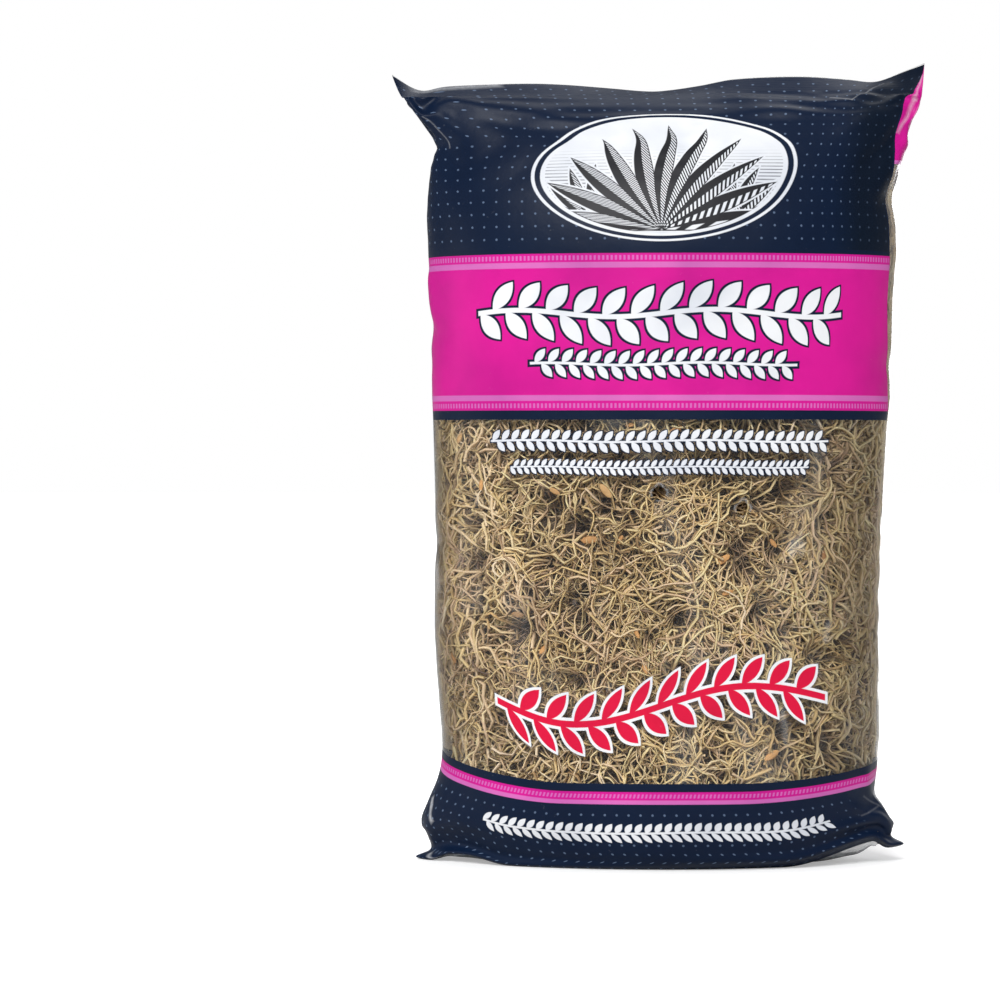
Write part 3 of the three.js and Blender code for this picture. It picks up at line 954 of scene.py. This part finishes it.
PLANTS = 1950
PIECES = 4
STEM_POINTS = 17
LEAF_POINTS = 8
LEAVES = 6  # on each stem
STEM_LENGTH = (45, 90)
LEAF_LENGTH = (9, 30)
STEM_RADIUS = (0.78, 0.5)  # at its start and its end, times the plant's own size
LEAF_RADIUS = (0.74, 0.52)  # at its start, and how much of it is gone at its tip
TUBE_SIDES = 3
SWINGS = [(0.9, 28, 60), (0.8, 13, 24), (0.28, 7, 11)]  # of a line: how far, and how long each is
LEAST_DEPTH = 1.9
LAYER_DEPTH = 8.5
CORE_DEPTH = 11.5
SIDE_CORE_RISE = 6.0  # how much closer to the film it is at the two side edges
ABOVE_CORE = 0.5  # the deepest strands lie on it
POCKETS = 110  # hollows in the bunch, where the strands lie deeper
POCKET_RADIUS = (3.0, 6.5)
POCKET_DEPTH = 7.5
DEPTH_SHADE = 0.019  # painted shade: how much darker a strand is for each millimetre further in
HOLLOW_SHADE = 0.04  # and painted shade for each that it has sunk
EDGE_SHADE = 0.3  # and painted shade beside the front's print, at the right edge


def film_out(film, u, v):
    """How far the film stands out of the plump form at a point."""
    film_v, rise = film
    column = (u + HALF_GIRTH) % GIRTH / COLUMN_STEP
    row = np.interp(v, film_v, np.arange(len(film_v)))
    c, r = np.floor(column).astype(int) % COLUMNS, np.minimum(row.astype(int), len(film_v) - 2)
    x, y = column - np.floor(column), row - r
    d = (c + 1) % COLUMNS
    low = rise[r, c] * (1 - x) + rise[r, d] * x
    high = rise[r + 1, c] * (1 - x) + rise[r + 1, d] * x
    return low * (1 - y) + high * y


def pocket_places():
    """The middle and radius of each hollow. There is one behind each vent."""
    random = np.random.default_rng(31)
    u, v = random.uniform(-HALF_GIRTH, HALF_GIRTH, POCKETS), random.uniform(42, 168, POCKETS)
    places = np.stack([u, v, random.uniform(*POCKET_RADIUS, POCKETS)], axis=-1)
    return np.concatenate([places, [(*vent, 1.5 * VENT_RADIUS) for vent in VENTS]])


def sunk(u, v):
    """How much deeper a strand lies because of the hollows."""
    deeper = 0 * u
    for middle_u, middle_v, radius in pocket_places():
        away = ((u - middle_u) ** 2 + (v - middle_v) ** 2) / radius ** 2
        deeper = np.maximum(deeper, POCKET_DEPTH * np.exp(-(away ** 1.5)))
    return deeper


def core_depth(u, v):
    """How deep the bunch's dense middle lies: lumpy, and closer to the film at the sides."""
    lump = 0.9 * np.sin(u / 4.3 + 2 * np.sin(v / 7)) * np.cos(v / 3.7)
    by_side = 1 - smooth(np.abs(np.abs(u) - HALF_WIDTH), 4, 34)
    sinks = 0.7 * sunk(u, v) * (1 - by_side)
    return CORE_DEPTH - SIDE_CORE_RISE * by_side + lump + sinks


def shade_at(u, v, depth, hollow):
    """Painted shade: how much darker a strand is for where it lies."""
    by_edge = (1 - smooth(np.abs(u - HALF_WIDTH), 5, 14)) * smooth(v, 168, 186)
    return DEPTH_SHADE * (depth - LEAST_DEPTH) + HOLLOW_SHADE * hollow + EDGE_SHADE * by_edge


def wander(start_u, start_v, heading, length, points, depth):
    """Curly lines under the film: u, v and depth of each point, how far it has sunk into a
    hollow, and which way the line heads there."""
    count = len(start_u)
    run = np.linspace(0, 1, points)[None, :] * length[:, None]
    turn = heading[:, None] + rng.normal(0, 0.012, (count, 1)) * run
    for swing, shortest, longest in SWINGS:
        period = rng.uniform(shortest, longest, (count, 1))
        phase = rng.uniform(0, math.tau, (count, 1))
        size = rng.uniform(0.3, 1.0, (count, 1)) * swing
        turn = turn + size * (np.sin(math.tau * run / period + phase) - np.sin(phase))
    step = length[:, None] / (points - 1)
    u = start_u[:, None] + np.cumsum(np.cos(turn) * step, axis=1)
    v = start_v[:, None] + np.cumsum(np.sin(turn) * step, axis=1)
    weave = rng.uniform(0.4, 1.9, (count, 1))
    beat = rng.uniform(13, 30, (count, 1))
    lift = weave * np.sin(math.tau * run / beat + rng.uniform(0, math.tau, (count, 1)))
    hollow = sunk(u, v)
    depth = np.maximum(depth[:, None] + lift, LEAST_DEPTH) + hollow
    return u, np.clip(v, 4, V_SEAL - 26), depth, hollow, turn


def add_values(made, name, values):
    layer = made.data.attributes.new(name, "FLOAT", "POINT")
    layer.data.foreach_set("value", values.astype(np.float32))


def tubes(film, u, v, depth, radius):
    """Three-sided tubes along many lines at once, as points and faces."""
    inset = np.minimum(depth - film_out(film, u, v), core_depth(u, v) - ABOVE_CORE)
    centre = under_film(u, v, inset)
    outward = unit(under_film(u, v, inset - 1) - centre)
    along = np.gradient(centre, axis=1)
    across = unit(np.cross(along, outward))
    up = unit(np.cross(across, along))
    angle = np.array([0.5, 0.5 + 2 / 3, 0.5 + 4 / 3]) * math.pi
    ring = across[..., None, :] * np.cos(angle)[:, None] + up[..., None, :] * np.sin(angle)[:, None]
    points = centre[..., None, :] + ring * radius[..., None, None]
    first = np.arange(u.size * TUBE_SIDES).reshape(*u.shape, TUBE_SIDES)
    here, ahead = first[:, :-1], first[:, 1:]
    quads = np.stack([here, np.roll(here, -1, 2), np.roll(ahead, -1, 2), ahead], axis=-1)
    return points.reshape(-1, 3), quads.reshape(-1, 4)


def grow_plants():
    """The plants' stems and their leaves: the lines, radii, tones and tints of each kind, and
    how many of it a plant has."""
    u = rng.uniform(-HALF_GIRTH, HALF_GIRTH, 3 * PLANTS)
    v = rng.uniform(14, 300, 3 * PLANTS)
    hidden = (np.abs(u) < 92) & (v > 194) | (v < 26)
    u, v = u[~hidden][:PLANTS], v[~hidden][:PLANTS]
    heading = rng.uniform(0, math.tau, PLANTS)
    depth = LEAST_DEPTH + 0.3 + LAYER_DEPTH * rng.random(PLANTS) ** 1.15
    length = rng.uniform(*STEM_LENGTH, PLANTS)
    tone = np.clip(rng.normal(0.67, 0.17, PLANTS), 0.1, 1)
    tint = rng.uniform(0, 0.75, PLANTS)
    stem = wander(u, v, heading, length, STEM_POINTS, depth)
    node = np.linspace(1, STEM_POINTS - 3, LEAVES).astype(int)
    stem_u, stem_v, stem_depth, _, stem_heading = (part[:, node] for part in stem)
    side = np.where(np.arange(LEAVES) % 2, 1, -1)
    leaf_heading = stem_heading + side * rng.uniform(0.4, 1.3, (PLANTS, LEAVES))
    leaf_length = rng.uniform(*LEAF_LENGTH, PLANTS * LEAVES)
    leaf_depth = stem_depth + rng.uniform(-1.4, 1.4, (PLANTS, LEAVES))
    leaf = wander(stem_u.ravel(), stem_v.ravel(), leaf_heading.ravel(), leaf_length, LEAF_POINTS,
                  leaf_depth.ravel())
    stem_radius = np.linspace(*STEM_RADIUS, STEM_POINTS) * rng.uniform(0.5, 1.2, (PLANTS, 1))
    taper = LEAF_RADIUS[0] - LEAF_RADIUS[1] * np.linspace(0, 1, LEAF_POINTS) ** 1.8
    leaf_radius = taper * rng.uniform(0.4, 1.1, (PLANTS * LEAVES, 1))
    leaf_tone = np.repeat(tone, LEAVES) + rng.normal(0, 0.1, PLANTS * LEAVES)
    return (
        (stem[:4], stem_radius, tone, tint, 1),
        (leaf[:4], leaf_radius, leaf_tone, np.repeat(tint, LEAVES), LEAVES),
    )


def moss_strands(film):
    """Plants of moss, each a stem with its leaves, in several pieces."""
    kinds = grow_plants()
    made = []
    for piece in range(PIECES):
        points, faces, tones, tints = np.empty((0, 3)), [], [], []
        for lines, radius, own_tone, own_tint, each in kinds:
            mine = slice(piece * PLANTS // PIECES * each, (piece + 1) * PLANTS // PIECES * each)
            u, v, depth, hollow = (part[mine] for part in lines)
            tube_points, quads = tubes(film, u, v, depth, radius[mine])
            faces.append(quads + len(points))
            points = np.concatenate([points, tube_points])
            tone = own_tone[mine][:, None] - shade_at(u, v, depth, hollow)
            tones.append(np.repeat(tone.ravel(), TUBE_SIDES))
            tints.append(np.repeat(own_tint[mine], TUBE_SIDES * u.shape[1]))
        strands = mesh_object(f"moss_strands_{piece + 1}", points, np.concatenate(faces))
        add_values(strands, "tone", np.concatenate(tones))
        add_values(strands, "tint", np.concatenate(tints))
        made.append(strands)
    return made


FLAKES = 40
FLAKE_SIZE = (2.0, 3.6)  # half the length, in millimetres


def flakes(film):
    """Bits of dry leaf and bark between the strands: thin closed ovals, a little cupped."""
    turns, rings = 8, 5
    around = np.linspace(0, math.tau, turns, endpoint=False)
    up = np.linspace(0.05, math.pi - 0.05, rings)
    points, faces = [], []
    for number in range(FLAKES):
        u, v = rng.uniform(-HALF_GIRTH, HALF_GIRTH), rng.uniform(40, 200)
        half, bearing = rng.uniform(*FLAKE_SIZE), rng.uniform(0, math.pi)
        along = (half * np.cos(up))[:, None] + 0 * around
        across = (0.45 * half * np.sin(up))[:, None] * np.cos(around)
        thick = 0.22 * np.sin(up)[:, None] * np.sin(around) + 0.06 * across ** 2
        flake_u = u + along * math.cos(bearing) - across * math.sin(bearing)
        flake_v = v + along * math.sin(bearing) + across * math.cos(bearing)
        depth = rng.uniform(1.9, 2.8) + 0.35 * half + thick
        depth -= film_out(film, flake_u, flake_v)
        points.append(under_film(flake_u, flake_v, depth).reshape(-1, 3))
        faces.append(ring_quads(rings, turns) + number * turns * rings)
    made = mesh_object("moss_litter", np.concatenate(points), np.concatenate(faces))
    add_values(made, "tone", np.repeat(rng.uniform(0.2, 0.5, FLAKES), turns * rings))
    add_values(made, "tint", np.repeat(rng.uniform(0.85, 1.2, FLAKES), turns * rings))
    return made


def drawn_in(ring, share):
    """The ring of points, drawn in towards its middle to that share of its size."""
    middle = ring.mean(axis=1, keepdims=True)
    return middle + (ring - middle) * share


def moss_core():
    """The middle behind the strands, a lumpy pillow that is closed at both ends."""
    columns, rows = 168, 126
    u = -HALF_GIRTH + GIRTH * np.arange(columns) / columns
    grid_u, grid_v = np.meshgrid(u, np.linspace(4, V_SEAL - 24, rows))
    points = under_film(grid_u, grid_v, core_depth(grid_u, grid_v))
    foot, head = points[:1], points[-1:]
    points = np.concatenate([
        drawn_in(foot, 0.02), drawn_in(foot, 0.6), points,
        drawn_in(head, 0.6), drawn_in(head, 0.02),
    ])
    return mesh_object("moss_middle", points.reshape(-1, 3), ring_quads(rows + 4, columns))


# ---- Making the pieces ----


def place_piece(piece, node):
    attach(piece, "root")
    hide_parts(node)


def refine(piece):
    finer = piece.modifiers.new("finer", "SUBSURF")
    finer.levels = finer.render_levels = 1


PRINTS = {
    "film_footer": footer_print, "film_window": window_print, "film_band": band_print,
    "film_header": header_print,
}

film, film_v, film_points, film_rise = make_film()
for region, (name, decorate) in zip(REGIONS, PRINTS.items()):
    film.data.materials.append(new_material(name, film_surface, region, decorate))
refine(film)
place_piece(film, "bag_film")

seam = make_seam(film_v, film_points)
whole_height = (REGIONS[0][0], REGIONS[-1][1])
sealed = new_material("film_seam", film_surface, whole_height, None, SEAM_HAZE)
seam.data.materials.append(sealed)
refine(seam)
place_piece(seam, "bag_film")

pressed = (film_v, film_rise)
fibre = new_material("dried_moss", moss_surface)
for strands in [*moss_strands(pressed), flakes(pressed)]:
    strands.data.materials.append(fibre)
    place_piece(strands, "moss_bunch")
core = moss_core()
core.data.materials.append(new_material("moss_shade", core_surface))
place_piece(core, "moss_bunch")

# ---- Studio ----

FLOOR_REACH = 9000
FLOOR_SHADE = (0.11, 0.05)  # half the oval of floor, in metres, round the bag where the painted glow stays weakest
LAMP_TARGET = Vector((0, 0, 0.15))
LAMPS = [  # name, kind, the side it stands on, size (metres or radians), strength
    ("key", "SUN", (-0.18, -1.0, 0.8), 0.45, 3.2),
    ("behind", "SUN", (0.4, 0.9, 1.3), 0.6, 0.62),
    ("back", "AREA", (0.35, 1.0, 0.2), 0.5, 2.8),
    ("overhead", "AREA", (0.0, 0.45, 1.3), 1.1, 0.95),
    ("left", "AREA", (-0.95, -0.25, 0.3), 0.5, 1.1),
]


def seen_directly(tree):
    return Field(add_node(tree, "LightPath").outputs["Is Camera Ray"])


def white_world():
    """White behind the bag, and a softer, cooler light on it."""
    world = bpy.data.worlds.new("studio")
    bpy.context.scene.world = world
    world.use_nodes = True
    tree = world.node_tree
    tree.nodes.clear()
    lighting = add_node(tree, "Background", (0.95, 0.97, 1), 0.3)
    seen = add_node(tree, "Background", (1, 1, 1), 1.0)
    both = add_node(tree, "MixShader", seen_directly(tree), lighting, seen)
    add_node(tree, "OutputWorld", both)


def floor_surface(tree):
    """White like what is behind it by a painted glow for the camera, and darker only close to the
    bag.
    """
    x, y = x_and_y(object_place(tree))
    away = radius_of(x * (1 / FLOOR_SHADE[0]), y * (1 / FLOOR_SHADE[1]))
    # painted light: the floor's glow, weakest close to the bag
    strength = away.above(1, 0.8).math("MULTIPLY_ADD", 0.45, 0.35) * seen_directly(tree)
    plain = add_node(tree, "BsdfDiffuse", (0.72, 0.72, 0.72))
    return add_node(tree, "AddShader", plain, add_node(tree, "Emission", (1, 1, 1), strength))


def white_floor():
    corners = np.array([[-1, -1, 0], [1, -1, 0], [1, 1, 0], [-1, 1, 0]])
    floor = mesh_object("floor", corners * FLOOR_REACH, np.array([[0, 1, 2, 3]]))
    floor.data.materials.append(new_material("floor_white", floor_surface))


def light_up():
    for name, kind, side, size, strength in LAMPS:
        data = bpy.data.lights.new(name, kind)
        data.energy = strength
        if kind == "SUN":
            data.angle = size
        else:
            data.size = size
        lamp = new_object(name, data)
        lamp.location = side
        aim = LAMP_TARGET - lamp.location if kind == "AREA" else -Vector(side)
        lamp.rotation_euler = aim.to_track_quat("-Z", "Y").to_euler()


FRAME_PIXELS = 1000
PIXELS_PER_METRE = 2512  # at the bag's middle
MIDDLE_PIXEL = (657, 860)  # where the middle of the bag's foot goes in the frame
CAMERA_DISTANCE = 1.5
CAMERA_HEIGHT = 0.17


def aim_camera():
    data = bpy.data.cameras.new("camera")
    data.sensor_width = 36
    data.lens = PIXELS_PER_METRE * CAMERA_DISTANCE * data.sensor_width / FRAME_PIXELS
    made = new_object("camera", data)
    made.location = (0, -CAMERA_DISTANCE, CAMERA_HEIGHT)
    across, down = (pixel - FRAME_PIXELS / 2 for pixel in MIDDLE_PIXEL)
    target = Vector((-across / PIXELS_PER_METRE, 0, down / PIXELS_PER_METRE))
    made.rotation_euler = (target - made.location).to_track_quat("-Z", "Y").to_euler()
    bpy.context.scene.camera = made


bpy.context.scene.view_settings.view_transform = "Standard"
aim_camera()
white_world()
white_floor()
light_up()
